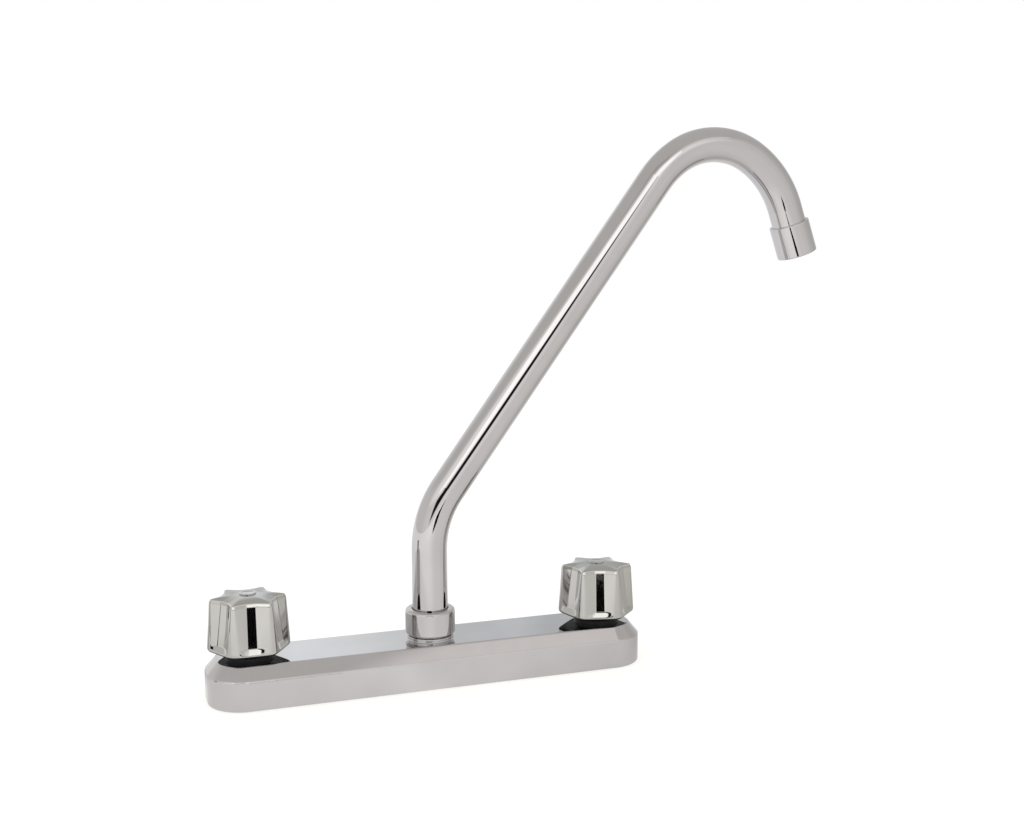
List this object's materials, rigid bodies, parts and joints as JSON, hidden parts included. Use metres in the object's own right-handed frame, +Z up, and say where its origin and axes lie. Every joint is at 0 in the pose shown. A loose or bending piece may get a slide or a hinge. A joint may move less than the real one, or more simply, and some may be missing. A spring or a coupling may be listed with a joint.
{
  "type": "two handle kitchen faucet",
  "caption": "Deck-mounted kitchen faucet: long chromed base cover, two fluted turning knobs, and a slanted swivelling gooseneck spout with an aerator.",
  "frame": {"origin": "middle of the underside of the base, on the sink deck", "axes": "+X along the base from the hot side to the cold side, +Y to the back, +Z up"},
  "size_m": [0.3673, 0.0474, 0.3097],
  "materials": {
    "chrome_plate": "bright mirror plating",
    "brass": "raw cast and turned",
    "black_rubber": "matte",
    "black_plastic": "fine moulded",
    "white_plastic": "moulded",
    "stainless": "bright"
  },
  "bodies": {
    "root": {"deck_cover": "chrome_plate", "deck_gasket": "black_rubber", "waterway_body": "brass", "spout_collar_nut": "chrome_plate", "spout_thrust_ring": "white_plastic", "hot_flange_nut": "black_plastic", "hot_valve_seat": "brass", "hot_bonnet": "brass", "hot_bonnet_gasket": "black_rubber", "cold_flange_nut": "black_plastic", "cold_valve_seat": "brass", "cold_bonnet": "brass", "cold_bonnet_gasket": "black_rubber"},
    "spout": {"spout_tube": "chrome_plate", "spout_bushing": "brass", "spout_o_ring_lower": "black_rubber", "spout_o_ring_upper": "black_rubber", "aerator_housing": "chrome_plate", "aerator_washer": "black_rubber", "aerator_flow_former": "white_plastic", "aerator_screen": "stainless"},
    "hot_washer": {"hot_washer_cup": "brass", "hot_seat_washer": "black_rubber", "hot_washer_screw": "brass"},
    "hot_handle": {"hot_stem": "brass", "hot_stem_o_ring": "black_rubber", "hot_knob": "chrome_plate", "hot_knob_hub": "black_plastic", "hot_knob_screw": "stainless", "hot_index_button": "chrome_plate"},
    "cold_washer": {"cold_washer_cup": "brass", "cold_seat_washer": "black_rubber", "cold_washer_screw": "brass"},
    "cold_handle": {"cold_stem": "brass", "cold_stem_o_ring": "black_rubber", "cold_knob": "chrome_plate", "cold_knob_hub": "black_plastic", "cold_knob_screw": "stainless", "cold_index_button": "chrome_plate"}
  },
  "joints": [
    {"name": "spout_swivel", "type": "hinge", "parent": "root", "child": "spout", "pos_m": [0, 0, 0.03], "axis": [0, 0, 1], "continuous": true},
    {"name": "hot_lift", "type": "slide", "parent": "root", "child": "hot_washer", "axis": [0, 0, 1], "range_m": [0, 0.003]},
    {"name": "hot_turn", "type": "hinge", "parent": "hot_washer", "child": "hot_handle", "pos_m": [-0.1016, 0, 0.04], "axis": [0, 0, 1], "range_deg": [0, 540]},
    {"name": "cold_lift", "type": "slide", "parent": "root", "child": "cold_washer", "axis": [0, 0, 1], "range_m": [0, 0.003]},
    {"name": "cold_turn", "type": "hinge", "parent": "cold_washer", "child": "cold_handle", "pos_m": [0.1016, 0, 0.04], "axis": [0, 0, 1], "range_deg": [0, 540]}
  ],
  "couplings": [
    {"joint": "hot_lift", "follows": "hot_turn", "m_per_rad": 0.0003183},
    {"joint": "cold_lift", "follows": "cold_turn", "m_per_rad": 0.0003183}
  ]
}
